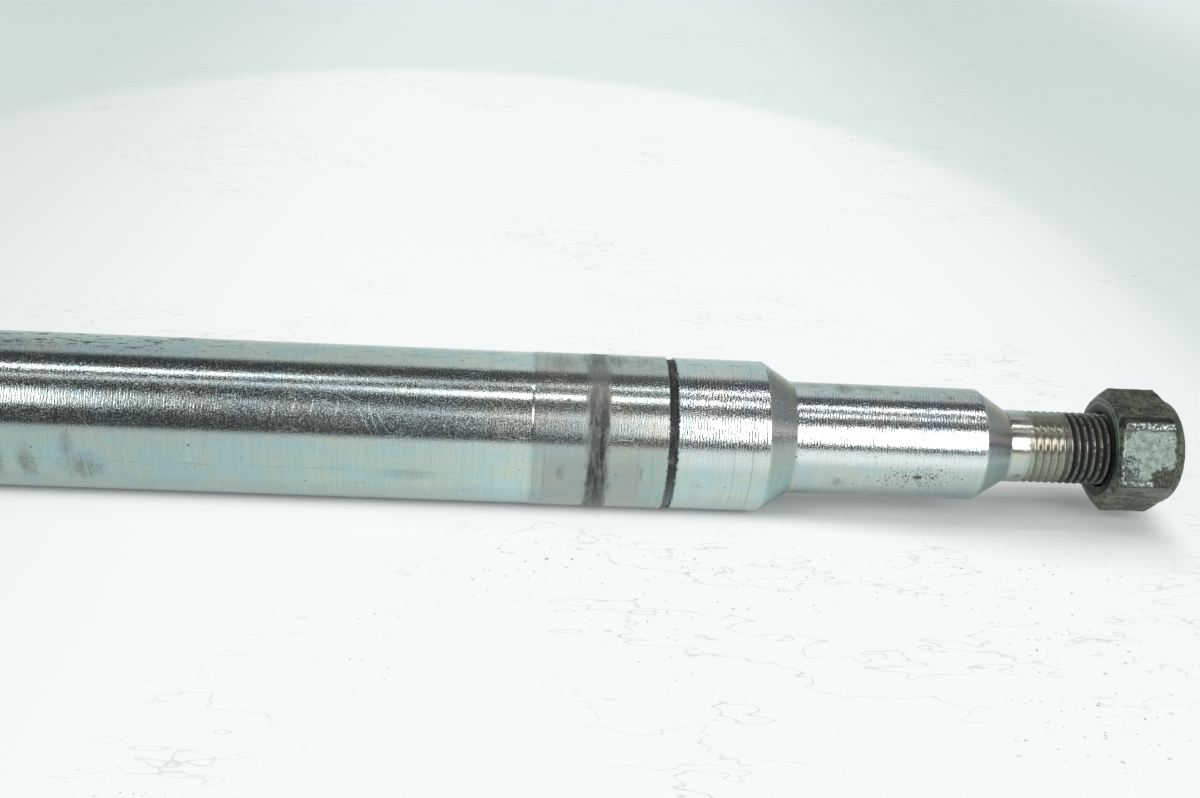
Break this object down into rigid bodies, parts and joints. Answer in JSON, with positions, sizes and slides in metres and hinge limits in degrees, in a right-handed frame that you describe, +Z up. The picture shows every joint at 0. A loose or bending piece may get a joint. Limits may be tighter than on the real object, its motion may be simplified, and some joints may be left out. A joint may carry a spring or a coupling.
{
  "type": "wheel axle",
  "caption": "Turned steel wheel axle with a raised bearing seat, a narrow groove, tapered shoulders and a threaded end that carries a self-locking hex nut.",
  "frame": {"origin": "on the axle's axis, in the middle of the bearing seat", "axes": "+X along the axle towards the threaded end and its nut; +Z up; the axle lies level, as it is carried in a wheel"},
  "size_m": [0.2481, 0.025, 0.025],
  "materials": {
    "plated_steel": "bright zinc-plated turned steel, fine lathe marks, worn and sooty at the bearing seat",
    "blackened_steel": "blackened steel, greasy and chipped, worn to bare metal on one flat",
    "nylon": "off-white nylon, slightly soiled"
  },
  "bodies": {
    "root": {"axle": "plated_steel", "axle_nut": "blackened_steel", "lock_ring": "nylon"}
  },
  "joints": []
}
